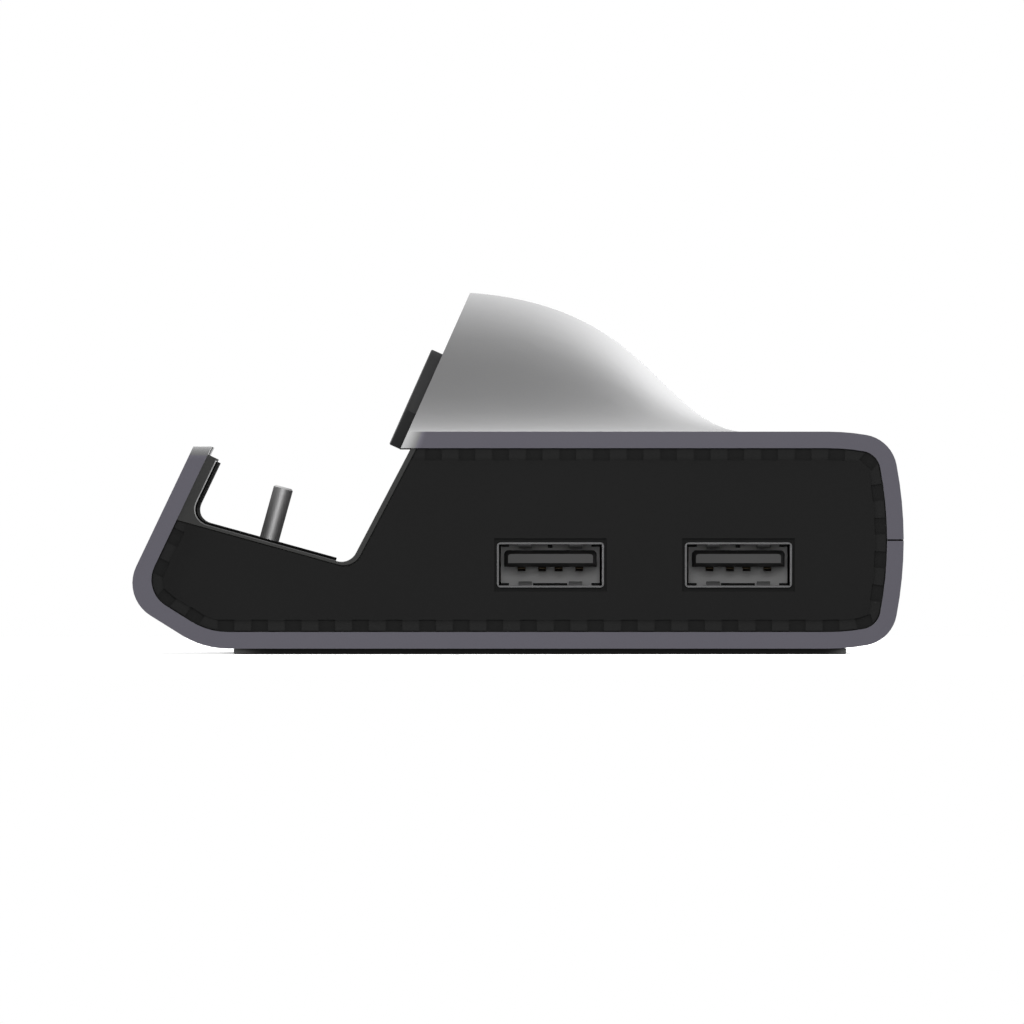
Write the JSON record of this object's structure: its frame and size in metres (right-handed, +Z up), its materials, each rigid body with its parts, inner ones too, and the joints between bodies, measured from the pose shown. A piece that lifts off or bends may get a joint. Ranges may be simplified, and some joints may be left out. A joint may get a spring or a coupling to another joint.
{
  "type": "handheld console dock",
  "caption": "Low metal dock for a handheld games console, with a leaning cradle, a humped backrest and sockets at both ends.",
  "frame": {"origin": "middle of the footprint, on the floor under the foot pad", "axes": "+X along the width towards the end with the two USB-A sockets, +Y to the round back, +Z up"},
  "size_m": [0.12, 0.0934, 0.0441],
  "materials": {
    "anodised": "fine bead-blasted and anodised, satin",
    "panel_black": "fine matt moulding",
    "cradle_black": "fine matt moulding",
    "liner": "matt silicone",
    "pad_rubber": "matt silicone",
    "foot_rubber": "matt silicone",
    "socket_steel": "nickel-plated pressed sheet",
    "insulator": "plain moulding",
    "contact_gold": "gold-flashed",
    "board_green": "solder mask over glass fibre",
    "screw_steel": "plain zinc plating",
    "chip_black": "moulded chip bodies",
    "ceramic": "ceramic",
    "thermal_grey": "soft filled silicone",
    "ribbon_white": "flat flexible cable"
  },
  "bodies": {
    "root": {"lower_shell": "anodised", "upper_shell": "anodised", "end_panel_right": "panel_black", "end_panel_left": "panel_black", "cradle": "cradle_black", "plug_carrier": "cradle_black", "cradle_liner": "liner", "backrest_pad": "pad_rubber", "foot_pad": "foot_rubber", "plug_shell": "socket_steel", "usb_a_front_shell": "socket_steel", "usb_a_rear_shell": "socket_steel", "power_shell": "socket_steel", "hdmi_shell": "socket_steel", "lan_shield": "socket_steel", "plug_core": "insulator", "usb_a_front_tongue": "insulator", "usb_a_rear_tongue": "insulator", "power_tongue": "insulator", "hdmi_tongue": "insulator", "lan_housing": "insulator", "ribbon_socket_plug": "insulator", "ribbon_socket_main": "insulator", "plug_contacts": "contact_gold", "usb_a_front_contacts": "contact_gold", "usb_a_rear_contacts": "contact_gold", "lan_contacts": "contact_gold", "plug_board": "board_green", "main_board": "board_green", "plug_screws": "screw_steel", "case_screws": "screw_steel", "cradle_screws": "screw_steel", "standoffs": "screw_steel", "hub_chip": "chip_black", "video_chip": "chip_black", "lan_chip": "chip_black", "power_chip": "chip_black", "lan_transformer": "chip_black", "capacitors": "chip_black", "inductors": "chip_black", "small_parts": "ceramic", "thermal_pad": "thermal_grey", "ribbon": "ribbon_white"}
  },
  "joints": []
}
